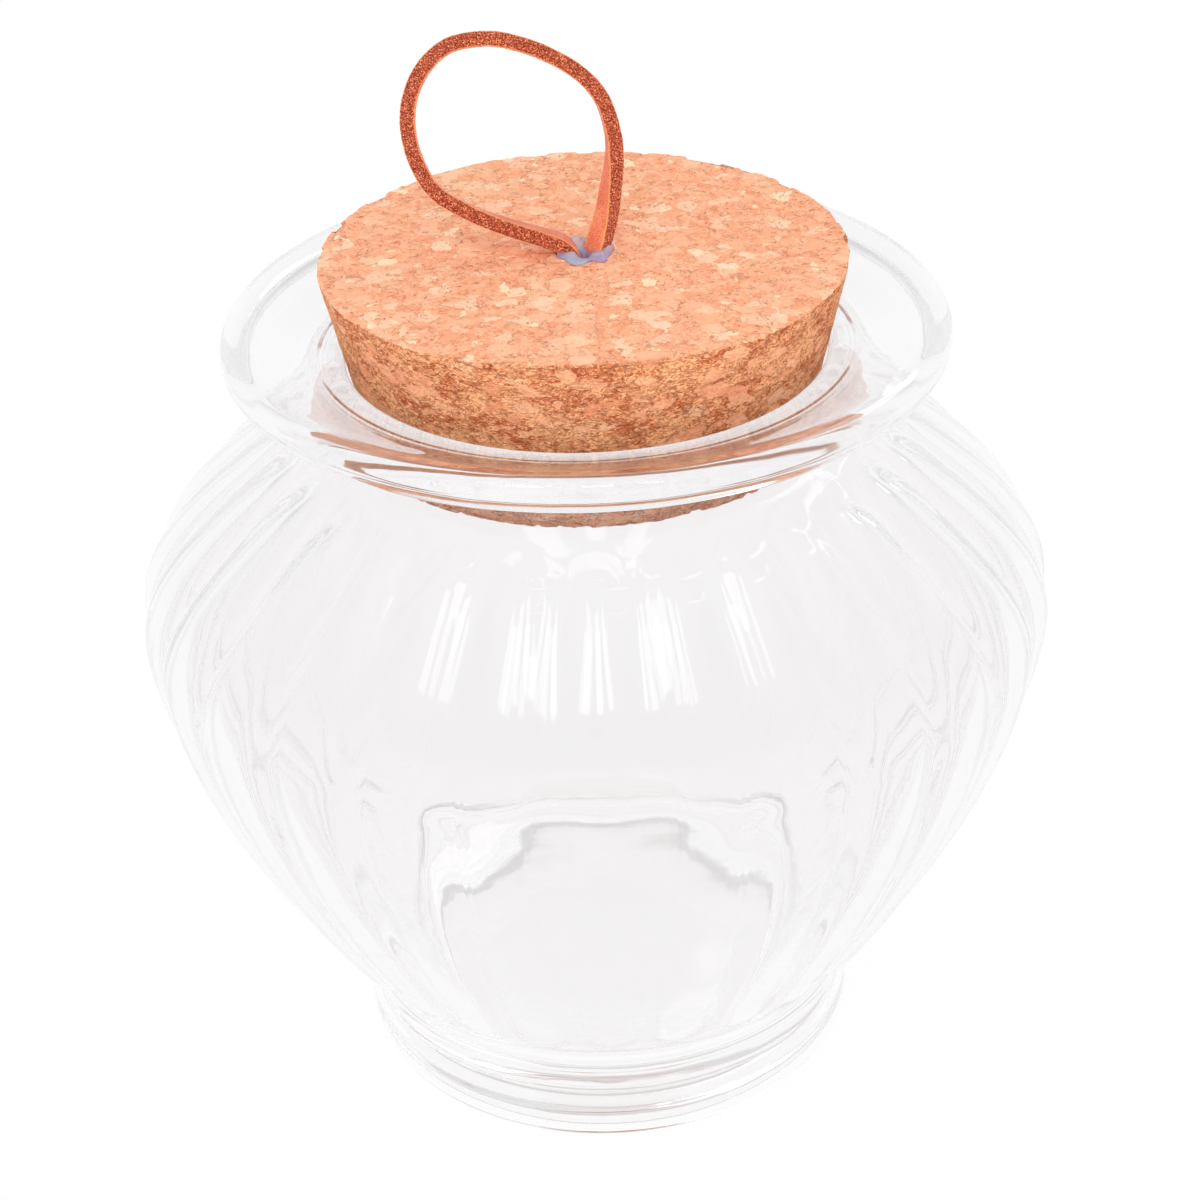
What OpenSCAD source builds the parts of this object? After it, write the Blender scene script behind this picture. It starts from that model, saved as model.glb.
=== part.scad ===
/* [Jar body] */
// Width of the jar across the crests of its lobes, at the belly
body_d = 120; // [108:1:132]
// Height of the widest part of the belly
belly_z = 68; // [62:0.5:74]
// Thickness of the glass wall behind the grooves
wall = 2.6; // [1.8:0.1:3.4]
// Width of the bowl where its flare ends
bowl_d = 82; // [76:1:90]
// Height at which the flare turns into the bowl
bowl_z = 24; // [21:0.5:28]
// Outward run of the bowl for each millimetre of height
bowl_slope = 0.67; // [0.4:0.01:0.9]
// How far outside the neck the shoulder ends, at the groove bottoms
shoulder_out = 4; // [2.5:0.25:8]
// Height at which the shoulder ends
shoulder_z = 94; // [91:0.5:96]
// Fall of the shoulder for each millimetre outward
shoulder_slope = 0.85; // [0.6:0.01:1.1]

/* [Lobes] */
// Number of lobes round the belly
lobe_count = 28; // [16:4:40]
// How far a lobe's crest stands out from the grooves beside it
lobe_h = 0.9; // [0.3:0.1:1.4]
// Height of the lobes' lower ends
lobe_low_z = 19; // [16:0.5:24]
// How far the lobes run up past the shoulder's end
lobe_top_past = 0.5; // [-6:0.5:2]
// Height over which a lobe rounds off at either end
lobe_end = 4; // [2:0.5:8]

/* [Foot] */
// Width of the foot
foot_d = 68.2; // [64:0.2:74]
// Height of the foot's disc
foot_h = 8; // [6:0.5:9]
// Radius of the foot's rounded edges
foot_edge_r = 2.6; // [1:0.1:3]
// Width of the flat ring that the jar stands on
foot_ring_w = 4; // [2:0.5:8]
// Depth of the hollow under the foot
recess_h = 2.5; // [1:0.25:4]
// Thickness of the glass floor over that hollow
floor_t = 7.5; // [5:0.25:9]
// Width of the flat part of the inner floor
floor_d = 44; // [36:1:50]
// How far the waist lies inside the foot's edge
waist_in = 0.8; // [0.4:0.1:3]
// Height of the waist
waist_z = 10.5; // [9.5:0.25:12]

/* [Neck and rim] */
// Thickness of the neck's wall where the neck is narrowest
neck_wall = 3.3; // [2.4:0.1:5.4]
// Rise from the shoulder's end to where the neck is narrowest
neck_h = 5.5; // [4:0.25:8]
// Inner width of the throat
throat_d = 61.4; // [54:0.2:68]
// Radius of the throat's rounded mouth
lip_r = 1.6; // [1:0.1:2.6]
// Width of the rim
rim_d = 92.8; // [86:0.2:100]
// Thickness of the bead round the rim's edge
rim_t = 4.7; // [4:0.1:5.4]
// Height of the straight part of the bead's outer face
bead_flat = 0.1; // [0.1:0.1:2]
// How far the flange's underside lies above the bead's bottom
bead_drop = 1; // [0:0.1:1.4]
// Width over which the bead's inner side rises to the flange
bead_in = 1; // [0.6:0.1:2]
// Rise from where the neck is narrowest to the rim's top
rim_h = 8.4; // [7.4:0.1:11]
// How far the mouth lies below the rim's top
dish_h = 3.7; // [3:0.1:4.2]
// Width of the flat crest round the rim's top
crest_w = 0.7; // [0.3:0.1:2]
// Radius of the fillet between the neck and the flange
neck_fillet_r = 3.4; // [2.4:0.1:4.4]

/* [Cork] */
// How much wider than the throat the cork is at its top
cork_top_over = 5.6; // [3.2:0.2:8.8]
// How much narrower than the throat the cork is at its bottom
cork_bottom_under = 5.4; // [3.2:0.2:8.2]
// Height of the cork
cork_h = 24; // [20:0.5:30]
// Radius of the cork's worn edges
cork_edge_r = 0.5; // [0.2:0.1:1.5]
// Gap between the cork and the mouth it seats in
seat_gap = 0.2; // [0.1:0.05:0.4]
// Width of the hole in the cork's top
hole_d = 6.6; // [6:0.1:8]
// Depth of that hole
hole_h = 13; // [8:0.5:16]

/* [Loop] */
// Width of the lace
lace_w = 3; // [2:0.1:3.4]
// Thickness of the lace
lace_t = 1.9; // [1.2:0.1:2]
// Radius of the lace's cut edges
lace_edge_r = 0.25; // [0.1:0.05:0.4]
// Angle at which the loop leans back
loop_lean = 22; // [0:1:35]
// Room left in the hole under the lace's ends
lace_end_gap = 2; // [0.5:0.25:3]

/* [Glue] */
// Gap between the glue and the wall of its hole
glue_gap = 0.02; // [0.02:0.01:0.1]
// How far the glue spreads over the cork round the hole
glue_spread = 0.8; // [0.3:0.1:2]
// Height of the glue above the cork
glue_dome_h = 1.5; // [0.8:0.1:2.5]

/* [Hidden] */
$fn = 128;

// Point at t on the curve from a to d that is pulled towards b and c
function curve_at(a, b, c, d, t) =
    a * pow(1 - t, 3) + 3 * b * t * pow(1 - t, 2) + 3 * c * pow(t, 2) * (1 - t) + d * pow(t, 3);
function curve(a, b, c, d, steps) = [for (i = [0:steps]) curve_at(a, b, c, d, i / steps)];
// Points along a circle round a centre, from angle a0 to angle a1
function arc(centre, r, a0, a1, steps) =
    [for (i = [0:steps]) centre + r * [cos(a0 + (a1 - a0) * i / steps), sin(a0 + (a1 - a0) * i / steps)]];
function tail(list, first) = [for (i = [first:len(list) - 1]) list[i]];
function unit(v) = v / norm(v);

// How far past a face the cuts run, so that they leave no skin
past = 1;

// Widths and heights that follow from the pieces beside them
waist_d = foot_d - 2 * waist_in;
neck_d = throat_d + 2 * neck_wall;
shoulder_d = neck_d + 2 * shoulder_out;
neck_z = shoulder_z + neck_h;
rim_z = neck_z + rim_h;
lobe_top_z = shoulder_z + lobe_top_past;
cork_top_d = throat_d + cork_top_over;
cork_bottom_d = throat_d - cork_bottom_under;
lace_sunk = hole_h - lace_end_gap;
glue_dome_d = hole_d + 2 * glue_spread;

// Outline of the jar's body at the bottom of the grooves, as [radius, height]
flare_steps = 5;
bowl_steps = 6;
shoulder_steps = 7;
neck_steps = 3;
waist_pull = 3;
flare_pull = 5;
belly_pull_low = 8;
belly_pull_high = 9;
bowl_pull = 18;
shoulder_pull = 11;
neck_pull = 2.2;
waist_pt = [waist_d / 2, waist_z];
bowl_pt = [bowl_d / 2, bowl_z];
belly_pt = [body_d / 2 - lobe_h, belly_z];
shoulder_pt = [shoulder_d / 2, shoulder_z];
neck_pt = [neck_d / 2, neck_z];
bowl_dir = [bowl_slope, 1];
shoulder_dir = [1, -shoulder_slope];
flare = curve(waist_pt, waist_pt + [0, waist_pull], bowl_pt - flare_pull * bowl_dir, bowl_pt,
    flare_steps);
bowl = curve(bowl_pt, bowl_pt + bowl_pull * bowl_dir, belly_pt - [0, belly_pull_low], belly_pt,
    bowl_steps);
shoulder = curve(belly_pt, belly_pt + [0, belly_pull_high], shoulder_pt + shoulder_pull * shoulder_dir,
    shoulder_pt, shoulder_steps);
neck = curve(shoulder_pt, shoulder_pt - neck_pull * shoulder_dir, neck_pt - [0, neck_pull], neck_pt,
    neck_steps);
outline = concat(flare, tail(bowl, 1), tail(shoulder, 1), tail(neck, 1));
last = len(outline) - 1;
// Outward direction of the outline at point i
function outward(line, i) =
    let (along = line[min(i + 1, len(line) - 1)] - line[max(i - 1, 0)])
    unit([along[1], -along[0]]);

// across_lobe is 0 on a crest and 1 in a groove; past_end is 0 between a lobe's ends and 1 beyond them
steps_per_lobe = 6;
columns = lobe_count * steps_per_lobe;
function across_lobe(j) = let (v = (j % steps_per_lobe) / steps_per_lobe) 2 * min(v, 1 - v);
function past_end(z) = max(0, lobe_low_z + lobe_end - z, z - lobe_top_z + lobe_end) / lobe_end;
function bump(j, z) = lobe_h * max(0, 1 - pow(across_lobe(j), 2) - pow(past_end(z), 2));
function ring_point(r, z, j) = [r * cos(360 * j / columns), r * sin(360 * j / columns), z];
function body_point(i, j) =
    let (p = outline[i] + bump(j, outline[i][1]) * outward(outline, i)) ring_point(p[0], p[1], j);

// Rings of the body: one down in the foot, the outline, and one up in the rim
in_foot_z = foot_h / 2;
in_rim_z = neck_z + neck_fillet_r / 2;
body_rings = concat(
    [[for (j = [0:columns - 1]) ring_point(waist_d / 2, in_foot_z, j)]],
    [for (i = [0:last]) [for (j = [0:columns - 1]) body_point(i, j)]],
    [[for (j = [0:columns - 1]) ring_point(neck_d / 2, in_rim_z, j)]]
);

// Closed skin over a list of rings that run round in the same sense
module skin(rings) {
    n = len(rings[0]);
    m = len(rings);
    points = [for (ring = rings) each ring];
    sides = [for (i = [0:m - 2], j = [0:n - 1])
        let (a = i * n + j, b = i * n + (j + 1) % n)
        each [[a, a + n, b], [b, a + n, b + n]]];
    low = [for (j = [0:n - 1]) j];
    high = [for (j = [n - 1:-1:0]) (m - 1) * n + j];
    polyhedron(points, concat(sides, [low, high]));
}

// Solid inside of the jar, from its floor up through the throat and over the dished rim
floor_z = recess_h + floor_t;
floor_pull = 9;
inner_wall = [for (i = [flare_steps:last - neck_steps]) outline[i] - wall * outward(outline, i)];
inner_foot = inner_wall[0];
inner_top = inner_wall[len(inner_wall) - 1];
throat_r = throat_d / 2;
mouth_z = rim_z - dish_h;
throat_pull = 2;
inner_floor = curve([floor_d / 2, floor_z], [floor_d / 2 + floor_pull, floor_z],
    inner_foot - flare_pull * bowl_dir, inner_foot, 8);
inner_neck = curve(inner_top, inner_top - throat_pull * shoulder_dir,
    [throat_r, neck_z - 2 * throat_pull], [throat_r, neck_z - throat_pull], 4);
lip_centre = [throat_r + lip_r, mouth_z - lip_r];
lip = arc(lip_centre, lip_r, 180, 90, 8);
bead_r = (rim_t - bead_flat) / 2;
crest_pt = [rim_d / 2 - bead_r - crest_w, rim_z];
mouth_pt = lip_centre + [0, lip_r];
dish_pull = [2.6, 0.4];
dish = curve(mouth_pt, mouth_pt + dish_pull, crest_pt - dish_pull, crest_pt, 6);
above = 5;
cavity = concat([[0, floor_z]], inner_floor, tail(inner_wall, 1), tail(inner_neck, 1), lip, tail(dish, 1),
    [crest_pt + [above, above], [0, rim_z + above]]);

module foot_disc() {
    r = foot_d / 2 - foot_edge_r;
    rotate_extrude()
        polygon(concat([[0, 0]], arc([r, foot_edge_r], foot_edge_r, -90, 0, 6),
            arc([r, foot_h - foot_edge_r], foot_edge_r, 0, 90, 6), [[0, foot_h]]));
}

// Fillet up from the neck, the flange's underside, the bead round its edge, and the top
fillet_start = 10;
fillet_turn = 40;
fillet_pull = 1.5;
flange_pull = 2;
module rim() {
    r = rim_d / 2 - bead_r;
    low_z = rim_z - rim_t;
    fillet = arc(neck_pt + [neck_fillet_r, 0], neck_fillet_r, 180 - fillet_start, 180 - fillet_turn, 4);
    fillet_end = fillet[len(fillet) - 1];
    fillet_dir = [sin(fillet_turn), cos(fillet_turn)];
    beside_bead = [r - bead_in, low_z + bead_drop];
    underside = curve(fillet_end, fillet_end + fillet_pull * fillet_dir, beside_bead - [flange_pull, 0],
        beside_bead, 6);
    into_bead = curve(beside_bead, beside_bead + [bead_in / 2, 0], [r - bead_in / 2, low_z], [r, low_z], 5);
    rotate_extrude()
        polygon(concat([[0, fillet[0][1]]], fillet, tail(underside, 1), tail(into_bead, 1),
            tail(arc([r, low_z + bead_r], bead_r, -90, 0, 6), 1),
            arc([r, rim_z - bead_r], bead_r, 0, 90, 6), [[0, rim_z]]));
}

// Shallow dome under the foot, inside the ring that the jar stands on
module foot_recess() {
    r = foot_d / 2 - foot_edge_r - foot_ring_w;
    dome = curve([r, 0], [r - recess_h / 2, recess_h], [r / 2, recess_h], [0, recess_h], 10);
    rotate_extrude()
        polygon(concat([[0, -past], [r, -past]], dome));
}

module glass_jar() {
    color("gainsboro", 0.4)
        difference() {
            union() {
                skin(body_rings);
                foot_disc();
                rim();
            }
            rotate_extrude() polygon(cavity);
            foot_recess();
        }
}

// The cork's side rests on the rounded mouth, seat_gap away from it
cork_lean = atan((cork_top_d - cork_bottom_d) / 2 / cork_h);
cork_r_at_lip = lip_centre[0] - (lip_r + seat_gap) / cos(cork_lean);
cork_z = lip_centre[1] - (cork_r_at_lip - cork_bottom_d / 2) / tan(cork_lean);
cork_top_z = cork_z + cork_h;

module cork_stopper() {
    low = [cork_bottom_d / 2, 0];
    top = [cork_top_d / 2, cork_h];
    inward = [cork_edge_r, 0];
    side = cork_edge_r * unit(top - low);
    color("burlywood")
        difference() {
            translate([0, 0, cork_z])
                rotate_extrude()
                    polygon(concat([[0, 0]],
                        curve(low - inward, low - inward / 3, low + side / 3, low + side, 4),
                        curve(top - side, top - side / 3, top - inward / 3, top - inward, 4),
                        [[0, cork_h]]));
            translate([0, 0, cork_top_z - hole_h]) cylinder(d = hole_d, h = hole_h + past);
        }
}

// Route of the lace: across, up the leaning loop, and twist, from one end in the hole to the other
leg_gap = 0.2;
leg = (lace_t + leg_gap) / 2;
loop_route = [
    [-leg, -lace_sunk, 0],
    [-leg, -lace_sunk / 2, 0],
    [-leg, -2.5, 0],
    [-1.15, -0.6, 0],
    [-2.5, 1, 0],
    [-5, 2, 0],
    [-9.6, 3.5, 0],
    [-14.2, 5.5, 0],
    [-18.1, 8, 0],
    [-20.3, 11.9, 0],
    [-21.2, 16.1, 0],
    [-20.7, 20.2, 0],
    [-18.8, 23.7, 0],
    [-15.8, 26.2, 0],
    [-12, 26.9, 0],
    [-8.7, 26.6, 0],
    [-4.3, 25.1, 0],
    [0, 22.4, 0],
    [2.7, 19.2, 2],
    [4, 14.9, 6],
    [4.1, 11.4, 14],
    [3.7, 8, 28],
    [3, 4.6, 37],
    [2.3, 2, 40],
    [1.6, 0, 30],
    [1.15, -1.8, 8],
    [leg, -3.4, 0],
    [leg, -lace_sunk / 2 - 1, 0],
    [leg, -lace_sunk, 0]
];
// Smooth route through the points, with two rings for each stretch
function smooth_at(p, i, t) =
    let (a = p[max(i - 1, 0)], b = p[i], c = p[i + 1], d = p[min(i + 2, len(p) - 1)])
    curve_at(b, b + (c - a) / 6, c - (d - b) / 6, c, t);
lace_route = concat([for (i = [0:len(loop_route) - 2], t = [0, 0.5]) smooth_at(loop_route, i, t)],
    [loop_route[len(loop_route) - 1]]);
// The loop stands upright in the hole and leans back more and more as it rises from the cork
lean_rise = 6;
function lean_at(s) = loop_lean * min(1, max(0, s) / lean_rise);
function placed(p) = [p[0], p[1] * sin(lean_at(p[1])), cork_top_z + p[1] * cos(lean_at(p[1]))];
lace_line = [for (p = lace_route) placed(p)];
half_w = lace_w / 2;
half_t = lace_t / 2;
flat_w = half_w - lace_edge_r;
flat_t = half_t - lace_edge_r;
lace_section = [
    [flat_t, -half_w], [half_t, -flat_w], [half_t, flat_w], [flat_t, half_w],
    [-flat_t, half_w], [-half_t, flat_w], [-half_t, -flat_w], [-flat_t, -half_w]
];
function lace_ring(i) =
    let (
        along = unit(lace_line[min(i + 1, len(lace_line) - 1)] - lace_line[max(i - 1, 0)]),
        lean = lean_at(lace_route[i][1]),
        back = [0, cos(lean), -sin(lean)],
        flat = unit(cross(along, back)),
        wide = cross(flat, along),
        a = lace_route[i][2]
    )
    [for (s = lace_section)
        lace_line[i] + (s[0] * cos(a) - s[1] * sin(a)) * flat + (s[0] * sin(a) + s[1] * cos(a)) * wide];

module suede_loop() {
    color("sienna")
        skin([for (i = [0:len(lace_line) - 1]) lace_ring(i)]);
}

module glue_plug() {
    r = hole_d / 2 - glue_gap;
    rim = [glue_dome_d / 2, 0];
    crown = [0, glue_dome_h];
    dome = curve(rim, rim + crown / 2, crown + rim / 2, crown, 8);
    color("lavender")
        union() {
            translate([0, 0, cork_top_z - hole_h]) cylinder(r = r, h = hole_h + glue_dome_h / 2);
            translate([0, 0, cork_top_z]) rotate_extrude() polygon(concat([[0, 0]], dome));
        }
}

glass_jar();
cork_stopper();
suede_loop();
glue_plug();
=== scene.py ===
import math

import bmesh
import bpy
from mathutils import Matrix, Vector, noise


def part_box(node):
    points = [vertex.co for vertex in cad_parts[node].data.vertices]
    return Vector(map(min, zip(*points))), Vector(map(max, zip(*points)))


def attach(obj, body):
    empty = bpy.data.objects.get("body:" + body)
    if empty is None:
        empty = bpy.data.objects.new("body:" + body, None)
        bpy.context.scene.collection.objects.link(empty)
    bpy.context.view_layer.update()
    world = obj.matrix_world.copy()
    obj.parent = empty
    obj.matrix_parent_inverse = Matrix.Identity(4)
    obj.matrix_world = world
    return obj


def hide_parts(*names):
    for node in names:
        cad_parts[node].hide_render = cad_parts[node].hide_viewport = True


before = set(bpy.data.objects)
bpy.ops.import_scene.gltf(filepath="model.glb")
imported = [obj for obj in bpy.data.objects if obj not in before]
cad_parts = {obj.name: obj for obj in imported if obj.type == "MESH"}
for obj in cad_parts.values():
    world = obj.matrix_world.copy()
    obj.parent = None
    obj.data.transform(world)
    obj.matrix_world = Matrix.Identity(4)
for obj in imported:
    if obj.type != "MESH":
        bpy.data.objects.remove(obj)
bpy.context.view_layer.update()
mm = 0.001

# The camera comes first, because everything else is judged through it.
viewSettings = {
    "place": (0, -0.334798, 0.264114),
    "aim": (0.00059, 0, 0.065026),
    "roll": -2.017,  # degrees
    "lens": 87.138,
}


def makeCamera(settings):
    camera = bpy.data.objects.new("camera", bpy.data.cameras.new("camera"))
    bpy.context.scene.collection.objects.link(camera)
    place = Vector(settings["place"])
    look = (Vector(settings["aim"]) - place).to_track_quat("-Z", "Y").to_matrix().to_4x4()
    roll = Matrix.Rotation(math.radians(settings["roll"]), 4, "Z")
    camera.matrix_world = Matrix.Translation(place) @ look @ roll
    camera.data.lens = settings["lens"]
    camera.data.sensor_width = 36
    bpy.context.scene.camera = camera


makeCamera(viewSettings)
print("camera placed")


# Outlines are lists of points [radius, height] in millimetres.
def cubic(a, b, c, d, steps):
    points = []
    for i in range(steps + 1):
        t = i / steps
        s = 1 - t
        points.append(a * s**3 + b * (3 * t * s * s) + c * (3 * t * t * s) + d * t**3)
    return points


def arc(centre, radius, start, end, steps):
    angles = [math.radians(start + (end - start) * i / steps) for i in range(steps + 1)]
    return [centre + radius * Vector((math.cos(a), math.sin(a))) for a in angles]


def straight(a, b, steps):
    return [a.lerp(b, i / steps) for i in range(steps + 1)]


def joined(*stretches):
    whole = []
    for stretch in stretches:
        for p in stretch:
            if not whole or (p - whole[-1]).length > 1e-4:
                whole.append(p)
    return whole


def outwardAt(points, i):
    along = points[min(i + 1, len(points) - 1)] - points[max(i - 1, 0)]
    return Vector((along.y, -along.x)).normalized()


def gridMesh(columns, rows, placeAt):
    # A grid whose corners go where placeAt puts them, welded where its sides meet
    bm = bmesh.new()
    bmesh.ops.create_grid(bm, x_segments=columns, y_segments=rows, size=0.5)
    for v in bm.verts:
        v.co = placeAt(round((v.co.x + 0.5) * columns), round((v.co.y + 0.5) * rows)) * mm
    sides = [v for v in bm.verts if v.is_boundary]
    bmesh.ops.remove_doubles(bm, verts=sides, dist=1e-7)
    return bm


def spunMesh(points, columns, shapeAt=None):
    turns = [i / columns * math.tau for i in range(columns)]

    def placeAt(column, row):
        turn, p = turns[column % columns], points[row]
        place = Vector((p.x * math.cos(turn), p.x * math.sin(turn), p.y))
        return shapeAt(place, turn, row) if shapeAt else place

    bm = gridMesh(columns, len(points) - 1, placeAt)
    bmesh.ops.recalc_face_normals(bm, faces=bm.faces)
    return bm


def finishPiece(bm, name, material, body, node):
    mesh = bpy.data.meshes.new(name)
    bm.to_mesh(mesh)
    bm.free()
    mesh.materials.append(material)
    mesh.shade_smooth()
    piece = bpy.data.objects.new(name, mesh)
    bpy.context.scene.collection.objects.link(piece)
    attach(piece, body)
    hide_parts(node)
    print(name, len(mesh.polygons), "faces")
    return piece


# Materials: a few helpers that keep the node lists short.
def newMaterial(name):
    material = bpy.data.materials.new(name)
    material.use_nodes = True
    tree = material.node_tree
    return material, tree, tree.nodes["Principled BSDF"]


def add(tree, kind, inputs=None, **settings):
    node = tree.nodes.new(kind)
    for key, value in settings.items():
        setattr(node, key, value)
    for key, value in (inputs or {}).items():
        if isinstance(value, bpy.types.NodeSocket):
            tree.links.new(value, node.inputs[key])
        else:
            node.inputs[key].default_value = value
    return node


def math2(tree, operation, a, b, clamp=False):
    return add(tree, "ShaderNodeMath", {0: a, 1: b}, operation=operation, use_clamp=clamp).outputs[0]


def ramp(tree, value, low, high, toLow=0.0, toHigh=1.0, smooth=True):
    kind = "SMOOTHSTEP" if smooth else "LINEAR"
    inputs = {"Value": value, "From Min": low, "From Max": high, "To Min": toLow, "To Max": toHigh}
    return add(tree, "ShaderNodeMapRange", inputs, interpolation_type=kind).outputs[0]


def mixed(tree, factor, a, b, blend="MIX"):
    node = add(tree, "ShaderNodeMix", data_type="RGBA", blend_type=blend, clamp_factor=True)
    for socket, value in ((node.inputs[0], factor), (node.inputs[6], a), (node.inputs[7], b)):
        if isinstance(value, bpy.types.NodeSocket):
            tree.links.new(value, socket)
        elif isinstance(value, tuple):
            socket.default_value = value + (1,)
        else:
            socket.default_value = value
    return node.outputs[2]


def srgb(r, g, b):
    return tuple((c / 255 / 12.92) if c <= 10 else ((c / 255 + 0.055) / 1.055) ** 2.4 for c in (r, g, b))


# Speckle shared by the cork and the suede: fine grains between two noise levels.
def makeSpeckleGroup():
    group = bpy.data.node_groups.new("speckle", "ShaderNodeTree")
    face = group.interface
    face.new_socket("Vector", in_out="INPUT", socket_type="NodeSocketVector")
    for name, value in (("Scale", 3000.0), ("Threshold", 0.55), ("Softness", 0.08)):
        socket = face.new_socket(name, in_out="INPUT", socket_type="NodeSocketFloat")
        socket.default_value = value
    face.new_socket("Mask", in_out="OUTPUT", socket_type="NodeSocketFloat")
    start = group.nodes.new("NodeGroupInput")
    end = group.nodes.new("NodeGroupOutput")
    grains = add(group, "ShaderNodeTexNoise", {"Vector": start.outputs["Vector"], "Scale": start.outputs["Scale"],
                                               "Detail": 2.0, "Roughness": 0.6})
    low = math2(group, "SUBTRACT", start.outputs["Threshold"], start.outputs["Softness"])
    high = math2(group, "ADD", start.outputs["Threshold"], start.outputs["Softness"])
    group.links.new(ramp(group, grains.outputs[0], low, high), end.inputs["Mask"])
    return group


speckleGroup = makeSpeckleGroup()


def speckle(tree, vector, scale, threshold, softness):
    node = add(tree, "ShaderNodeGroup", node_tree=speckleGroup)
    tree.links.new(vector, node.inputs["Vector"])
    for name, value in (("Scale", scale), ("Threshold", threshold), ("Softness", softness)):
        node.inputs[name].default_value = value
    return node.outputs["Mask"]


# Glass jar: one outline spun round, then its lobes raised.
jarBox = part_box("glass_jar")
jar = {
    "bellyWidth": 2 * jarBox[1].x / mm, "bellyHeight": 68, "wall": 2.6,
    "bowlWidth": 82, "bowlHeight": 24, "bowlSlope": 0.67,
    "shoulderWidth": 76, "shoulderHeight": 94, "shoulderSlope": 0.85,
    "lobes": 28, "lobeRise": 0.9, "lobeLow": 19, "lobeTop": 94.5, "lobeEnd": 4,
    "grooveRound": 0.6,  # share of the half lobe that keeps its crest's curve
    "innerLobe": 0.93,  # how much of the lobes shows inside
    "stepsPerLobe": 12,
    "footWidth": 68.2, "footHeight": 8, "footEdge": 2.6, "footTurn": 38, "ringWidth": 4, "recess": 2.5,
    "floorHeight": 10, "floorWidth": 44, "waistWidth": 66.6, "waistHeight": 10.5,
    "neckWidth": 68, "neckHeight": 99.5, "neckFillet": 3.4, "filletTurn": 40,
    "throatWidth": 61.4, "lipRound": 1.6,
    "rimWidth": 92.8, "rimThick": 4.7, "rimTop": jarBox[1].z / mm, "dish": 3.7, "crest": 0.7,
    "beadFlat": 0.1, "beadDrop": 1, "beadIn": 1,
    "ripple": 0.05, "innerRipple": 0.09,  # unevenness of the glass
}


def jarFoot(s, waist):
    edge = s["footEdge"]
    footIn = s["footWidth"] / 2 - edge
    ringIn = footIn - s["ringWidth"]
    recess = s["recess"]
    hollow = cubic(Vector((0, recess)), Vector((ringIn / 2, recess)), Vector((ringIn - recess / 2, recess)),
                   Vector((ringIn, 0)), 18)
    ring = straight(Vector((ringIn, 0)), Vector((footIn, 0)), 3)
    lowEdge = arc(Vector((footIn, edge)), edge, -90, 0, 8)
    topEdge = arc(Vector((footIn, s["footHeight"] - edge)), edge, 0, s["footTurn"], 5)
    turn = math.radians(s["footTurn"])
    way = Vector((-math.sin(turn), math.cos(turn)))
    intoWaist = cubic(topEdge[-1], topEdge[-1] + 1.1 * way, waist - Vector((0, 1.2)), waist, 6)
    return joined(hollow, ring, lowEdge, topEdge, intoWaist)


def jarRim(s, neck):
    # From the neck's fillet under the flange, round the bead, and down the dish to the throat
    bead = (s["rimThick"] - s["beadFlat"]) / 2
    low = s["rimTop"] - s["rimThick"]
    beadIn = s["rimWidth"] / 2 - bead
    fillet = arc(neck + Vector((s["neckFillet"], 0)), s["neckFillet"], 180, 180 - s["filletTurn"], 8)
    turn = math.radians(s["filletTurn"])
    way = Vector((math.sin(turn), math.cos(turn)))
    besideBead = Vector((beadIn - s["beadIn"], low + s["beadDrop"]))
    under = cubic(fillet[-1], fillet[-1] + 1.5 * way, besideBead - Vector((2, 0)), besideBead, 8)
    half = Vector((s["beadIn"] / 2, 0))
    intoBead = cubic(besideBead, besideBead + half, Vector((beadIn, low)) - half, Vector((beadIn, low)), 6)
    lowBead = arc(Vector((beadIn, low + bead)), bead, -90, 0, 10)
    topBead = arc(Vector((beadIn, s["rimTop"] - bead)), bead, 0, 90, 10)
    mouth = Vector((s["throatWidth"] / 2 + s["lipRound"], s["rimTop"] - s["dish"]))
    lip = arc(mouth - Vector((0, s["lipRound"])), s["lipRound"], 90, 180, 10)
    crest = Vector((beadIn - s["crest"], s["rimTop"]))
    pull = Vector((2.6, 0.4))
    dish = cubic(crest, crest - pull, mouth + pull, mouth, 14)
    return joined(fillet, under, intoBead, lowBead, topBead, dish, lip)


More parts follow.
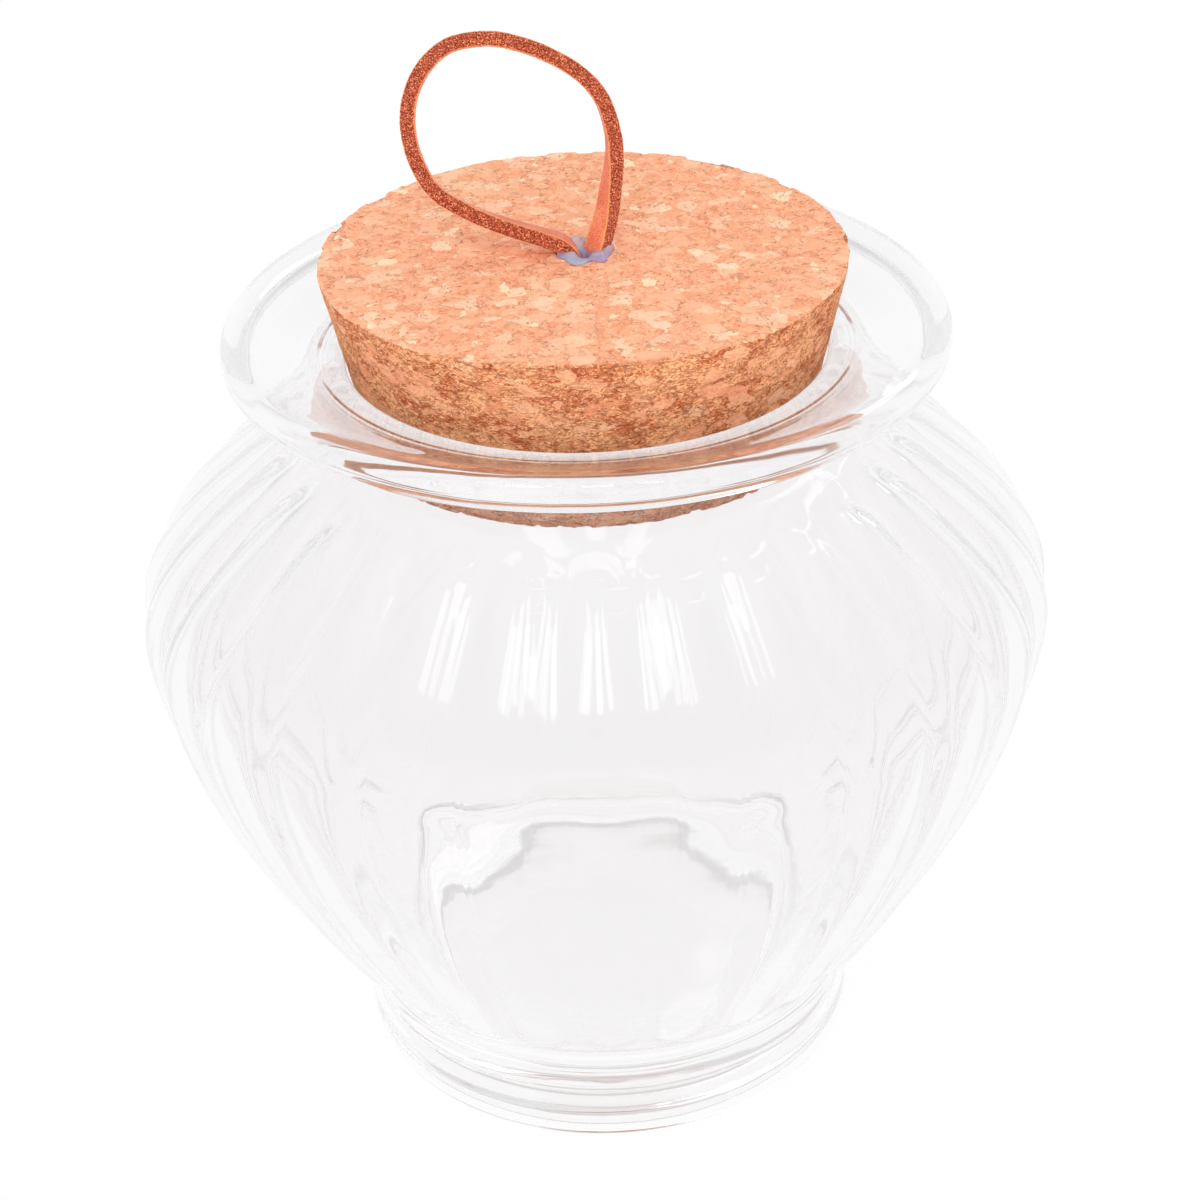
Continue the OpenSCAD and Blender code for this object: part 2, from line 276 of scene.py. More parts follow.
def jarOutline(s):
    waist = Vector((s["waistWidth"] / 2, s["waistHeight"]))
    bowl = Vector((s["bowlWidth"] / 2, s["bowlHeight"]))
    belly = Vector((s["bellyWidth"] / 2 - s["lobeRise"], s["bellyHeight"]))
    shoulder = Vector((s["shoulderWidth"] / 2, s["shoulderHeight"]))
    neck = Vector((s["neckWidth"] / 2, s["neckHeight"]))
    up = Vector((0, 1))
    bowlWay = Vector((s["bowlSlope"], 1))
    shoulderWay = Vector((1, -s["shoulderSlope"]))
    flare = cubic(waist, waist + 3 * up, bowl - 5 * bowlWay, bowl, 12)
    bowlSide = cubic(bowl, bowl + 18 * bowlWay, belly - 8 * up, belly, 24)
    upper = cubic(belly, belly + 9 * up, shoulder + 11 * shoulderWay, shoulder, 26)
    neckSide = cubic(shoulder, shoulder - 2.2 * shoulderWay, neck - 2.2 * up, neck, 8)
    body = joined(flare, bowlSide, upper, neckSide)

    # Inside, back down from the throat to the middle of the floor
    inner = [p - s["wall"] * outwardAt(body, i) for i, p in enumerate(body)][12:-8]
    innerTop, innerFoot = inner[-1], inner[0]
    throat = s["throatWidth"] / 2
    innerNeck = cubic(Vector((throat, s["neckHeight"] - 2)), Vector((throat, s["neckHeight"] - 4)),
                      innerTop - 2 * shoulderWay, innerTop, 8)
    floorEdge = Vector((s["floorWidth"] / 2, s["floorHeight"]))
    innerFloor = cubic(innerFoot, innerFoot - 5 * bowlWay, floorEdge + Vector((9, 0)), floorEdge, 14)
    floor = straight(floorEdge, Vector((0, s["floorHeight"])), 8)
    return jarFoot(s, waist), body, jarRim(s, neck), joined(innerNeck, inner[::-1], innerFloor, floor)


def lobeShape(u, keep):
    # 1 on the crest and 0 in the groove, whose bottom is rounded past the share called keep
    bottom = 1 - keep
    if u < keep:
        height = 1 - u * u
    else:
        height = 1 - keep * keep - 2 * keep * (u - keep) + keep * (u - keep) ** 2 / (1 - keep)
    return (height - bottom) / (1 - bottom)


def lobeRise(s, turn, height):
    across = (turn / math.tau * s["lobes"]) % 1
    u = 2 * min(across, 1 - across)
    pastEnd = max(0, s["lobeLow"] + s["lobeEnd"] - height, height - s["lobeTop"] + s["lobeEnd"]) / s["lobeEnd"]
    return s["lobeRise"] * max(0, lobeShape(u, s["grooveRound"]) - pastEnd**2)


def ripple(s, place, inside):
    shift = Vector((31, 7, 2)) if inside else Vector((0, 0, 0))
    wave = noise.noise(place / 17 + shift) + 0.5 * noise.noise(place / 8 + shift)
    return (s["innerRipple"] if inside else s["ripple"]) * (wave + 1)


def makeGlass():
    material, tree, shader = newMaterial("clearGlass")
    shader.inputs["Base Color"].default_value = (0.957, 0.949, 0.953, 1)
    shader.inputs["Transmission Weight"].default_value = 1.0
    shader.inputs["Metallic"].default_value = 0.0
    shader.inputs["IOR"].default_value = 1.48
    place = add(tree, "ShaderNodeTexCoord").outputs["Object"]
    waves = add(tree, "ShaderNodeTexNoise", {"Vector": place, "Scale": 90.0, "Detail": 2.0})
    bump = add(tree, "ShaderNodeBump", {"Height": waves.outputs[0], "Strength": 0.12, "Distance": 0.0008})
    tree.links.new(bump.outputs[0], shader.inputs["Normal"])
    smudge = add(tree, "ShaderNodeTexNoise", {"Vector": place, "Scale": 45.0, "Detail": 4.0})
    tree.links.new(ramp(tree, smudge.outputs[0], 0.35, 0.7, 0.02, 0.07), shader.inputs["Roughness"])
    # Lamps shine through the glass instead of being stopped by it
    clear = add(tree, "ShaderNodeBsdfTransparent", {"Color": (0.98, 0.98, 0.98, 1)})
    rays = add(tree, "ShaderNodeLightPath")
    mix = add(tree, "ShaderNodeMixShader")
    tree.links.new(rays.outputs["Is Shadow Ray"], mix.inputs[0])
    tree.links.new(shader.outputs[0], mix.inputs[1])
    tree.links.new(clear.outputs[0], mix.inputs[2])
    tree.links.new(mix.outputs[0], tree.nodes["Material Output"].inputs[0])
    return material


def makeJar(s):
    foot, body, rim, inside = jarOutline(s)
    points = joined(foot, body, rim, inside)
    pushes = []
    for p in points:
        onBody = next((i for i, q in enumerate(body) if (p - q).length < 1e-4), None)
        inner = next((i for i, q in enumerate(inside) if (p - q).length < 1e-4), None)
        if onBody is not None:
            pushes.append(outwardAt(body, onBody))
        elif inner is not None and s["lobeLow"] < p.y < s["lobeTop"]:
            pushes.append(-outwardAt(inside, inner) * s["innerLobe"])
        else:
            pushes.append(Vector((0, 0)))
    insideFrom = len(points) - len(inside)

    def shapeAt(place, turn, row):
        radial = Vector((math.cos(turn), math.sin(turn), 0))
        way, wave = pushes[row], 0
        if points[row].x > 4 and place.z > 1:
            wave = ripple(s, place, row > insideFrom)
        # Inside, the lobes fade out lower, so the cork's end isn't wavy through the neck
        height = place.z + (4 if row > insideFrom and place.z > s["bellyHeight"] else 0)
        rise = lobeRise(s, turn, height) if way.length > 0.01 else 0
        return place + radial * (way.x * rise - wave) + Vector((0, 0, way.y * rise))

    bm = spunMesh(points, s["lobes"] * s["stepsPerLobe"], shapeAt)
    return finishPiece(bm, "glassJar", makeGlass(), "jar", "glass_jar")


makeJar(jar)


# Cork stopper: pressed granules
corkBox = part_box("cork_stopper")
cork = {
    "topWidth": 67, "bottomWidth": 56, "edge": 0.5,
    "bottom": corkBox[0].z / mm, "top": corkBox[1].z / mm,
    "holeWidth": 6.6, "holeDepth": 13,
    "columns": 400,
    "pit": 0.2,  # depth of the dents between granules
    "chip": 0.75,  # depth of the chips along the edges
    "paintedLightFrom": jar["neckHeight"] - 1, "paintedLightTo": jar["rimTop"] - jar["dish"] - 1,  # where the cork inside the neck is painted paler, as painted light for the shade there
    "wear": 0.8, "wearAt": -90, "wearSpread": 38,  # the front of the top edge is rubbed down
}


def corkOutline(s):
    low = Vector((s["bottomWidth"] / 2, s["bottom"]))
    top = Vector((s["topWidth"] / 2, s["top"]))
    inward = Vector((s["edge"], 0))
    side = s["edge"] * (top - low).normalized()
    hole = s["holeWidth"] / 2
    holeLow = top.y - s["holeDepth"]
    return joined(
        straight(Vector((0, low.y)), low - inward, 24),
        cubic(low - inward, low - inward / 3, low + side / 3, low + side, 4),
        straight(low + side, top - side, 48),
        cubic(top - side, top - side / 3, top - inward / 3, top - inward, 5),
        straight(top - inward, Vector((hole + 0.3, top.y)), 60),
        cubic(Vector((hole + 0.3, top.y)), Vector((hole + 0.1, top.y)), Vector((hole, top.y - 0.1)),
              Vector((hole, top.y - 0.3)), 3),
        straight(Vector((hole, top.y - 0.3)), Vector((hole, holeLow)), 6),
        straight(Vector((hole, holeLow)), Vector((0, holeLow)), 2),
    )


def roughenCork(bm, s):
    flank = bm.verts.layers.float.new("side")
    normals = {v: v.normal.copy() for v in bm.verts}
    topEdge = Vector((s["topWidth"] / 2, s["top"]))
    lowEdge = Vector((s["bottomWidth"] / 2, s["bottom"]))
    for v in bm.verts:
        p = v.co / mm
        r = p.xy.length
        outward = normals[v]
        v[flank] = min(1, max(0, 1 - outward.z * 1.4))
        if r < s["holeWidth"] / 2 + 0.4 and p.z > s["bottom"] + 1:
            continue
        warp = noise.noise_vector(p / 2.5) * 0.6
        near = noise.voronoi((p + warp) / 2.2)[0]
        gap = max(0, 1 - (near[1] - near[0]) * 4)
        patch = 0.3 + 0.7 * max(0, noise.noise(p / 4 + Vector((7, 0, 0))) + 0.4)
        fine = noise.noise(p / 0.8) * 0.05 + noise.noise(p / 3.5) * 0.06
        depth = s["pit"] * gap * patch + max(0, 0.06 - fine)
        # Granules broken away along both edges, and the part of the top one that is rubbed down
        fromTop = (Vector((r, p.z)) - topEdge).length
        fromLow = (Vector((r, p.z)) - lowEdge).length
        if min(fromTop, fromLow) < 3:
            broken = noise.cell((p + 2 * warp) / (2.3 if fromTop < 3 else 1.3) + Vector((0, 0, 5)))
            depth += s["chip"] * max(0, 1 - min(fromTop, fromLow) / 1.5) * max(0, broken - 0.25)
            away = (math.degrees(math.atan2(p.y, p.x)) - s["wearAt"] + 180) % 360 - 180
            rubbed = max(0, 1 - (away / s["wearSpread"]) ** 2) * max(0, 1 - fromTop / 2.2)
            depth += s["wear"] * rubbed * (0.7 + 0.6 * noise.noise(p / 1.2))
            v[flank] = max(v[flank], min(1, 2.2 * rubbed * (1 + noise.noise(p / 0.9))))
        v.co -= outward * min(depth, 1.4) * mm


def corkCells(tree, vector, scale):
    # Three random tones for each granule
    cell = add(tree, "ShaderNodeTexVoronoi", {"Vector": vector, "Scale": scale})
    tones = add(tree, "ShaderNodeSeparateColor", {0: cell.outputs["Color"]}).outputs
    return tones[0], tones[1], tones[2]


def corkJoints(tree, vector, scale, width):
    edges = add(tree, "ShaderNodeTexVoronoi", {"Vector": vector, "Scale": scale}, feature="DISTANCE_TO_EDGE")
    return ramp(tree, edges.outputs[0], 0.0, width, 1.0, 0.0)


def makeCorkMaterial(s):
    material, tree, shader = newMaterial("pressedCork")
    place = add(tree, "ShaderNodeTexCoord").outputs["Object"]
    side = add(tree, "ShaderNodeAttribute", attribute_name="side").outputs["Fac"]
    # Granules are pressed flat, so every cell is half as high as it is wide
    flat = add(tree, "ShaderNodeMapping", {"Vector": place, "Scale": (1, 1, 1.9)}).outputs[0]
    bent = flat
    for scale, reach in ((350.0, 0.0024), (1500.0, 0.0007)):
        warp = add(tree, "ShaderNodeTexNoise", {"Vector": flat, "Scale": scale, "Detail": 3.0})
        shift = add(tree, "ShaderNodeVectorMath", {0: warp.outputs["Color"], 1: (0.5, 0.5, 0.5)},
                    operation="SUBTRACT")
        small = add(tree, "ShaderNodeVectorMath", {0: shift.outputs[0], "Scale": reach}, operation="SCALE")
        bent = add(tree, "ShaderNodeVectorMath", {0: bent, 1: small.outputs[0]}, operation="ADD").outputs[0]

    grain = corkCells(tree, bent, 3000.0)
    bit = corkCells(tree, bent, 1250.0)
    flake = corkCells(tree, bent, 430.0)
    topTone = math2(tree, "ADD", math2(tree, "MULTIPLY", grain[0], 0.45), math2(tree, "MULTIPLY", bit[0], 0.55))
    sideTone = math2(tree, "ADD", math2(tree, "MULTIPLY", grain[0], 0.55), math2(tree, "MULTIPLY", bit[0], 0.3))
    broad = add(tree, "ShaderNodeTexNoise", {"Vector": flat, "Scale": 170.0, "Detail": 3.0}).outputs[0]
    sideTone = math2(tree, "ADD", sideTone, ramp(tree, broad, 0.35, 0.65, -0.12, 0.22))
    top = mixed(tree, topTone, srgb(237, 148, 107), srgb(253, 199, 160))
    flank = mixed(tree, ramp(tree, sideTone, 0.05, 0.7), srgb(196, 97, 55), srgb(255, 184, 133))

    # Smooth flakes among the fine granules, and a few cream ones
    topFlake = mixed(tree, flake[0], srgb(240, 166, 124), srgb(255, 216, 182))
    sideFlake = mixed(tree, flake[0], srgb(242, 154, 112), srgb(252, 186, 144))
    top = mixed(tree, ramp(tree, flake[1], 0.62, 0.66, 0.0, 0.75), top, topFlake)
    smooth = ramp(tree, flake[1], 0.82, 0.85)
    flank = mixed(tree, math2(tree, "MULTIPLY", smooth, 0.8), flank, sideFlake)
    # The cork inside the neck is painted paler: painted light that makes up for the shade the glass puts on it
    up = add(tree, "ShaderNodeSeparateXYZ", {0: place}).outputs[2]
    paintedLightFade = ramp(tree, up, (s["paintedLightTo"] - 1.5) * mm, s["paintedLightTo"] * mm, 1.0, 0.0)
    mostly = ramp(tree, up, (s["paintedLightFrom"] - 3) * mm, s["paintedLightFrom"] * mm, 0.35, 0.5)
    flank = mixed(tree, math2(tree, "MULTIPLY", paintedLightFade, mostly), flank, srgb(255, 206, 182))
    colour = mixed(tree, side, top, flank)
    cream = math2(tree, "MAXIMUM", ramp(tree, flake[2], 0.965, 0.97), ramp(tree, bit[2], 0.985, 0.99))
    cream = math2(tree, "MULTIPLY", cream, ramp(tree, side, 0.0, 1.0, 0.8, 0.2))
    colour = mixed(tree, cream, colour, srgb(255, 226, 190))

    # Dark joints and pores come in patches
    patchy = add(tree, "ShaderNodeTexNoise", {"Vector": flat, "Scale": 500.0, "Detail": 4.0}).outputs[0]
    patchy = math2(tree, "ADD", patchy, math2(tree, "MULTIPLY", side, 0.08))
    inPatches = ramp(tree, patchy, 0.45, 0.62)
    joints = math2(tree, "MAXIMUM", corkJoints(tree, bent, 430.0, 0.035), corkJoints(tree, bent, 1250.0, 0.06))
    pores = speckle(tree, bent, 1700.0, 0.64, 0.03)
    sidePores = math2(tree, "MULTIPLY", speckle(tree, flat, 2600.0, 0.58, 0.04), side)
    marks = math2(tree, "MULTIPLY", math2(tree, "MULTIPLY", joints, inPatches), 0.6)
    marks = math2(tree, "MAXIMUM", marks, math2(tree, "MULTIPLY", pores, 0.55))
    marks = math2(tree, "MAXIMUM", marks, math2(tree, "MULTIPLY", sidePores, 0.55))
    crevices = math2(tree, "MULTIPLY", speckle(tree, bent, 1000.0, 0.62, 0.03), side)
    marks = math2(tree, "MAXIMUM", marks, math2(tree, "MULTIPLY", crevices, 0.75))
    marks = math2(tree, "MULTIPLY", marks, math2(tree, "SUBTRACT", 1.0, math2(tree, "MULTIPLY", smooth, 0.55)))
    colour = mixed(tree, marks, colour, srgb(150, 64, 30))
    tree.links.new(colour, shader.inputs["Base Color"])

    rise = math2(tree, "ADD", math2(tree, "MULTIPLY", grain[2], 0.5), math2(tree, "MULTIPLY", bit[1], 0.5))
    height = math2(tree, "SUBTRACT", rise, marks)
    strong = ramp(tree, side, 0.0, 1.0, 0.3, 0.7)
    bump = add(tree, "ShaderNodeBump", {"Height": height, "Strength": strong, "Distance": 0.00025})
    tree.links.new(bump.outputs[0], shader.inputs["Normal"])
    shader.inputs["Roughness"].default_value = 0.85
    shader.inputs["Specular IOR Level"].default_value = 0.2
    return material


def makeCork(s):
    bm = spunMesh(corkOutline(s), s["columns"])
    bm.normal_update()
    roughenCork(bm, s)
    return finishPiece(bm, "corkStopper", makeCorkMaterial(s), "stopper", "cork_stopper")


makeCork(cork)


# Suede lace, bent into a loop; its route is across, up the loop, and twist
lace = {
    "width": 3, "thick": 1.9, "edge": 0.3, "lean": 22, "leanRise": 6, "sunk": 11, "gap": 0.2,
    "stepsPerStretch": 12, "fuzz": 0.07,
    "top": cork["top"],
}


def laceRoute(s):
    leg = (s["thick"] + s["gap"]) / 2
    sunk = s["sunk"]
    turns = [
        (-leg, -sunk, 0), (-leg, -sunk / 2, 0), (-leg, -2.5, 0), (-1.15, -0.6, 0), (-2.5, 1, 0),
        (-5, 2, 0), (-9.6, 3.5, 0), (-14.2, 5.4, 0), (-18.1, 7.9, 0), (-20.3, 11.7, 0), (-21.2, 15.9, 0),
        (-20.7, 19.9, 0), (-18.8, 23.4, 0), (-15.8, 25.8, 0), (-12, 26.5, 0), (-8.7, 26.2, 0),
        (-4.3, 24.7, 0), (0.1, 22.1, 0), (2.9, 18.9, 2), (4.2, 14.7, 6), (4.3, 11.3, 14), (3.8, 8, 28),
        (3.1, 4.6, 38), (2.3, 2, 46), (1.6, 0, 46), (1.3, -1.8, 24), (leg, -3.6, 0),
        (leg, -sunk / 2 - 1, 0), (leg, -sunk, 0),
    ]
    turns = [Vector(p) for p in turns]
    route = []
    for i in range(len(turns) - 1):
        a, b, c, d = (turns[max(i - 1, 0)], turns[i], turns[i + 1], turns[min(i + 2, len(turns) - 1)])
        route += cubic(b, b + (c - a) / 6, c - (d - b) / 6, c, s["stepsPerStretch"])[:-1]
    return route + [turns[-1]]


def leanAt(s, up):
    return math.radians(s["lean"] * min(1, max(0, up) / s["leanRise"]))


def makeLaceMaterial():
    material, tree, shader = newMaterial("suede")
    place = add(tree, "ShaderNodeTexCoord").outputs["Object"]
    cut = add(tree, "ShaderNodeAttribute", attribute_name="cutEdge").outputs["Fac"]
    coarse = add(tree, "ShaderNodeTexNoise", {"Vector": place, "Scale": 260.0, "Detail": 3.0}).outputs[0]
    fine = speckle(tree, place, 4600.0, 0.52, 0.09)
    bright = speckle(tree, place, 5400.0, 0.6, 0.05)
    edge = mixed(tree, fine, srgb(124, 44, 28), srgb(185, 88, 60))
    edge = mixed(tree, bright, edge, srgb(238, 156, 112))
    flat = mixed(tree, ramp(tree, coarse, 0.3, 0.7), srgb(226, 118, 84), srgb(246, 150, 114))
    flat = mixed(tree, math2(tree, "MULTIPLY", fine, 0.55), flat, srgb(184, 84, 56))
    colour = mixed(tree, cut, flat, edge)
    # The rounded corners are painted paler: a painted highlight along them
    paintedCornerHighlight = ramp(tree, math2(tree, "ABSOLUTE", math2(tree, "SUBTRACT", cut, 0.5), 0.0), 0.2, 0.5, 0.62, 0.0)
    colour = mixed(tree, paintedCornerHighlight, colour, srgb(255, 172, 108))
    tree.links.new(colour, shader.inputs["Base Color"])
    bump = add(tree, "ShaderNodeBump", {"Height": fine, "Strength": 0.5, "Distance": 0.00012})
    tree.links.new(bump.outputs[0], shader.inputs["Normal"])
    shader.inputs["Roughness"].default_value = 0.9
    shader.inputs["Specular IOR Level"].default_value = 0.15
    shader.inputs["Sheen Weight"].default_value = 0.25
    shader.inputs["Sheen Roughness"].default_value = 0.4
    return material


def laceSection(s):
    # Round the strip's section: [across the thickness, across the width, share of cut edge]
    halfThick, halfWide, r = s["thick"] / 2, s["width"] / 2, s["edge"]
    section = []
    for turn in range(4):
        angle = 90 * turn
        cx = (halfThick - r) * (1 if turn in (0, 3) else -1)
        cy = (halfWide - r) * (1 if turn in (0, 1) else -1)
        for p in arc(Vector((cx, cy)), r, angle, angle + 90, 3):
            section.append(p)
        following = (turn + 1) % 4
        nx = (halfThick - r) * (1 if following in (0, 3) else -1)
        ny = (halfWide - r) * (1 if following in (0, 1) else -1)
        end = arc(Vector((nx, ny)), r, 90 * following, 90 * following + 90, 3)[0]
        section += straight(section[-1], end, 5)[1:-1]
    return section


def makeLace(s):
    route = laceRoute(s)
    lineUp = []
    for p in route:
        lean = leanAt(s, p.y)
        lineUp.append(Vector((p.x, p.y * math.sin(lean), s["top"] + p.y * math.cos(lean))))
    section = laceSection(s)
    axes = []
    for i, p in enumerate(route):
        along = (lineUp[min(i + 1, len(lineUp) - 1)] - lineUp[max(i - 1, 0)]).normalized()
        lean = leanAt(s, p.y)
        flat = along.cross(Vector((0, math.cos(lean), -math.sin(lean)))).normalized()
        wide = flat.cross(along)
        a = math.radians(p.z)
        axes.append((flat * math.cos(a) + wide * math.sin(a), wide * math.cos(a) - flat * math.sin(a)))

    def placeAt(column, row):
        q = section[column % len(section)]
        way = axes[row][0] * q.x + axes[row][1] * q.y
        place = lineUp[row] + way
        fuzz = noise.noise(place / 0.35) + 0.6 * noise.noise(place / 1.4) - 0.4
        return place + way.normalized() * s["fuzz"] * fuzz

    bm = gridMesh(len(section), len(route) - 1, placeAt)
    bmesh.ops.holes_fill(bm, edges=[e for e in bm.edges if e.is_boundary], sides=0)
    bmesh.ops.recalc_face_normals(bm, faces=bm.faces)
    cut = bm.verts.layers.float.new("cutEdge")
    for v in bm.verts:
        place = v.co / mm
        near = min(range(len(lineUp)), key=lambda i: (lineUp[i] - place).length_squared)
        aside = abs((place - lineUp[near]).dot(axes[near][1]))
        v[cut] = max(0, min(1, (aside - s["width"] / 2 + 0.35) / 0.25))
    return finishPiece(bm, "suedeLoop", makeLaceMaterial(), "stopper", "suede_loop")


makeLace(lace)


# Hot glue round the lace's legs
glue = {
    "width": 8.2, "rise": 1.5, "stem": 6.5, "depth": 13, "wobble": 0.22, "aside": 0.15, "columns": 120,
    "top": cork["top"],
}


def makeGlueMaterial(s):
    material, tree, shader = newMaterial("hotGlue")
    place = add(tree, "ShaderNodeTexCoord").outputs["Object"]
    cloud = add(tree, "ShaderNodeTexNoise", {"Vector": place, "Scale": 420.0, "Detail": 2.0}).outputs[0]
    up = add(tree, "ShaderNodeSeparateXYZ", {0: place}).outputs[2]
    # Painted light: toward its top the glue turns paler and pinker, for the light that shines through the thin film
    paintedFilmLight = ramp(tree, up, (s["top"] + 0.4) * mm, (s["top"] + 1.0) * mm)
    low = mixed(tree, ramp(tree, cloud, 0.36, 0.64), srgb(208, 180, 226), srgb(214, 226, 252))
    colour = mixed(tree, paintedFilmLight, low, srgb(255, 226, 230))
    tree.links.new(colour, shader.inputs["Base Color"])
    waves = add(tree, "ShaderNodeTexNoise", {"Vector": place, "Scale": 900.0, "Detail": 1.0})
    bump = add(tree, "ShaderNodeBump", {"Height": waves.outputs[0], "Strength": 0.5, "Distance": 0.0003})
    tree.links.new(bump.outputs[0], shader.inputs["Normal"])
    shader.inputs["Roughness"].default_value = 0.08
    shader.inputs["Transmission Weight"].default_value = 0.55
    shader.inputs["IOR"].default_value = 1.48
    return material


def glueHeight(x, y):
    # Millimetres above the cork: drawn up the right leg and into a film behind, with a notch in front
    def hump(cx, cy, wide, deep):
        return math.exp(-((x - cx) / wide) ** 2 - ((y - cy) / deep) ** 2)

    return (0.45 + 0.9 * hump(3.1, 0.1, 1.2, 1.3) + 1.1 * hump(-0.9, 1.3, 1.5, 0.8) + 0.35 * hump(-1.5, -2, 1.2, 0.9)
            + 0.3 * hump(2, -2.2, 1.1, 0.8) - 1.3 * hump(0.1, -1.4, 0.7, 1.1))


def makeGlue(s):
    wide, stem = s["width"] / 2, s["stem"] / 2
    low = s["top"] - s["depth"] + 0.03
    under = s["top"] - 0.05
    outline = joined(
        straight(Vector((0, low)), Vector((stem, low)), 3),
        straight(Vector((stem, low)), Vector((stem, under)), 6),
        straight(Vector((stem, under)), Vector((wide, under)), 4),
        straight(Vector((wide, under)), Vector((0, s["top"])), 40)[1:],
    )
    surfaceFrom = len(outline) - 40

    def shapeAt(place, turn, row):
        around = Vector((math.cos(turn), math.sin(turn), 0))
        if row >= surfaceFrom - 5:
            share = max(0, place.xy.length - 2.8) / (wide - 2.8)
            place.xy *= 1 + (s["wobble"] * (noise.noise(around * 1.9) - 0.25) - 0.08 * max(0, -around.x)) * share
            place.x += s["aside"] * share
        if row >= surfaceFrom:
            fade = min(1, (row - surfaceFrom + 1) / 8) ** 0.5
            uneven = 0.14 * noise.noise(place / 0.9)
            place.z = s["top"] + fade * min(s["rise"], glueHeight(place.x, place.y) + uneven)
        return place

    bm = spunMesh(outline, s["columns"], shapeAt)
    return finishPiece(bm, "gluePlug", makeGlueMaterial(s), "stopper", "glue_plug")


makeGlue(glue)


# Studio: pale floor, pale world and soft lamps
studio = {
    "floorWidth": 6.0, "floorGlow": 0.94,
    "lowLight": 1.06, "highLight": 0.72,  # how pale the walls and the ceiling are
    "dimSides": 0.14,
    "dimBand": 0.27,  # how much darker the walls are between the floor's glow and the ceiling's
}


def makeFloor(s):
    bm = bmesh.new()
    bmesh.ops.create_grid(bm, x_segments=1, y_segments=1, size=s["floorWidth"] / 2)
    mesh = bpy.data.meshes.new("floor")
    bm.to_mesh(mesh)
    bm.free()
    floor = bpy.data.objects.new("floor", mesh)
    bpy.context.scene.collection.objects.link(floor)
    material, tree, shader = newMaterial("floorWhite")
    shader.inputs["Base Color"].default_value = (0.98, 0.98, 0.98, 1)
    shader.inputs["Roughness"].default_value = 1.0
    shader.inputs["Specular IOR Level"].default_value = 0.0
    rays = add(tree, "ShaderNodeLightPath").outputs
    seen = math2(tree, "MAXIMUM", rays["Is Camera Ray"], rays["Is Glossy Ray"])
    seen = math2(tree, "MAXIMUM", seen, rays["Is Transmission Ray"])
    white = add(tree, "ShaderNodeEmission", {"Color": (1, 1, 1, 1), "Strength": 1.0})
    mix = add(tree, "ShaderNodeMixShader")
    tree.links.new(math2(tree, "MULTIPLY", seen, s["floorGlow"]), mix.inputs[0])
    tree.links.new(shader.outputs[0], mix.inputs[1])
    tree.links.new(white.outputs[0], mix.inputs[2])
    tree.links.new(mix.outputs[0], tree.nodes["Material Output"].inputs[0])
    mesh.materials.append(material)


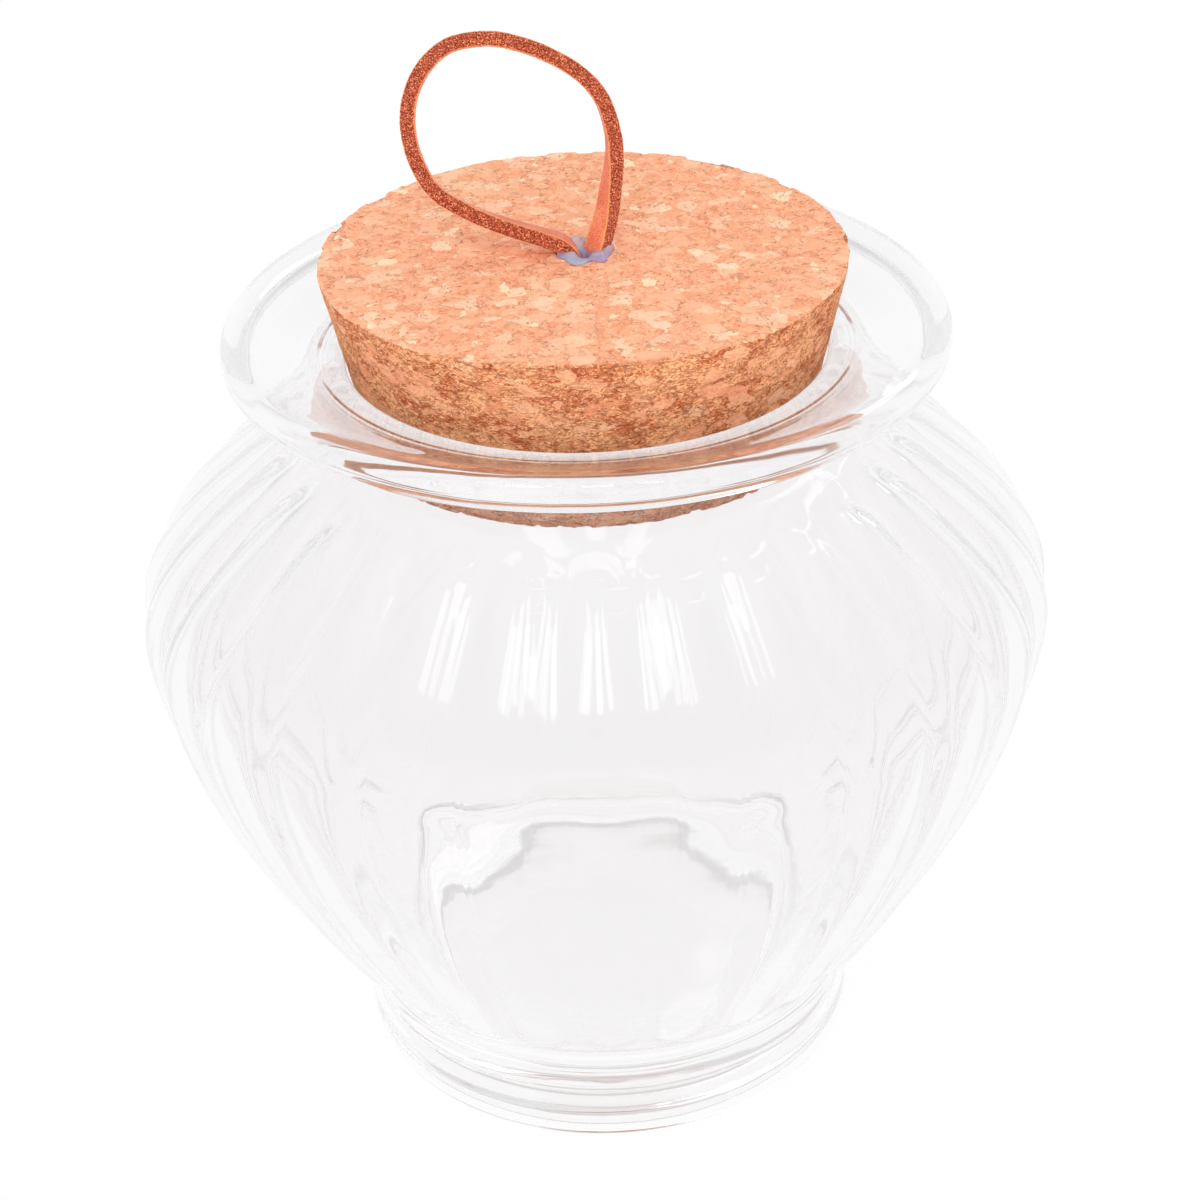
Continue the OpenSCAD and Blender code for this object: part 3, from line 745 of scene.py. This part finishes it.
def makeWorld(s):
    world = bpy.data.worlds.new("studio")
    bpy.context.scene.world = world
    world.use_nodes = True
    tree = world.node_tree
    tree.nodes.clear()
    rays = add(tree, "ShaderNodeLightPath").outputs
    way = add(tree, "ShaderNodeSeparateXYZ", {0: add(tree, "ShaderNodeTexCoord").outputs["Generated"]})
    # Seen in the glass, the room is white near the floor, dimmer half way up and pale above
    dim = math2(tree, "SUBTRACT", ramp(tree, way.outputs[2], 0.3, 0.56),
                ramp(tree, way.outputs[2], 0.62, 0.9, 0.0, 0.7))
    level = math2(tree, "SUBTRACT", 1.0, math2(tree, "MULTIPLY", dim, s["dimBand"]))
    # Darker screens on both sides draw the glass's outline
    aside = ramp(tree, math2(tree, "ABSOLUTE", way.outputs[0], 0.0), 0.62, 0.95)
    above = ramp(tree, way.outputs[2], -0.15, 0.1)
    screens = math2(tree, "MULTIPLY", math2(tree, "MULTIPLY", aside, above), s["dimSides"])
    level = math2(tree, "SUBTRACT", level, screens)
    room = add(tree, "ShaderNodeBackground", {"Color": (1, 1, 1, 1), "Strength": level})
    walls = ramp(tree, way.outputs[2], 0.2, 0.9, s["lowLight"], s["highLight"])
    soft = add(tree, "ShaderNodeBackground", {"Color": (1, 1, 1, 1), "Strength": walls})
    plain = add(tree, "ShaderNodeBackground", {"Color": (1, 1, 1, 1), "Strength": 1.0})
    inGlass = math2(tree, "MAXIMUM", rays["Is Glossy Ray"], rays["Is Transmission Ray"])
    first = add(tree, "ShaderNodeMixShader", {0: inGlass, 1: soft.outputs[0], 2: room.outputs[0]})
    second = add(tree, "ShaderNodeMixShader", {0: rays["Is Camera Ray"], 1: first.outputs[0], 2: plain.outputs[0]})
    end = tree.nodes.new("ShaderNodeOutputWorld")
    tree.links.new(second.outputs[0], end.inputs[0])


def makeLamp(name, place, aim, width, depth, watts, seen=True):
    data = bpy.data.lights.new(name, "AREA")
    data.shape = "RECTANGLE"
    data.size, data.size_y, data.energy = width, depth, watts
    lamp = bpy.data.objects.new(name, data)
    lamp.location = place
    lamp.rotation_euler = (Vector(aim) - Vector(place)).to_track_quat("-Z", "Y").to_euler()
    lamp.visible_camera = False
    lamp.visible_glossy = lamp.visible_transmission = seen
    bpy.context.scene.collection.objects.link(lamp)


makeFloor(studio)
makeWorld(studio)
makeLamp("windowLeft", (-0.3, -0.6, 1.1), (0, 0, 0.08), 0.2, 0.32, 0.42)
makeLamp("windowMiddle", (0.02, -0.63, 1.1), (0, 0, 0.08), 0.14, 0.32, 0.3)
makeLamp("windowRight", (0.26, -0.6, 1.1), (0, 0, 0.08), 0.1, 0.32, 0.2)
makeLamp("windowBack", (0.45, 0.7, 0.95), (0, 0, 0.08), 0.5, 0.5, 1.8)
# The fills light the cork without showing in the glass
makeLamp("topFill", (-0.3, -0.65, 1.15), (0, 0, 0.1), 0.7, 0.5, 1.25, seen=False)
makeLamp("leftFill", (-1.3, -0.45, 0.3), (0, 0, 0.1), 0.8, 0.7, 3.5, seen=False)
makeLamp("rightFill", (1.3, -0.45, 0.3), (0, 0, 0.1), 0.8, 0.7, 3.5, seen=False)
makeLamp("frontFill", (0.15, -1.3, 0.35), (0, 0, 0.1), 2.4, 0.7, 9.0, seen=False)

bpy.context.scene.view_settings.view_transform = "Standard"
cycles = bpy.context.scene.cycles
cycles.use_denoising = True
cycles.max_bounces = cycles.transmission_bounces = cycles.glossy_bounces = 96
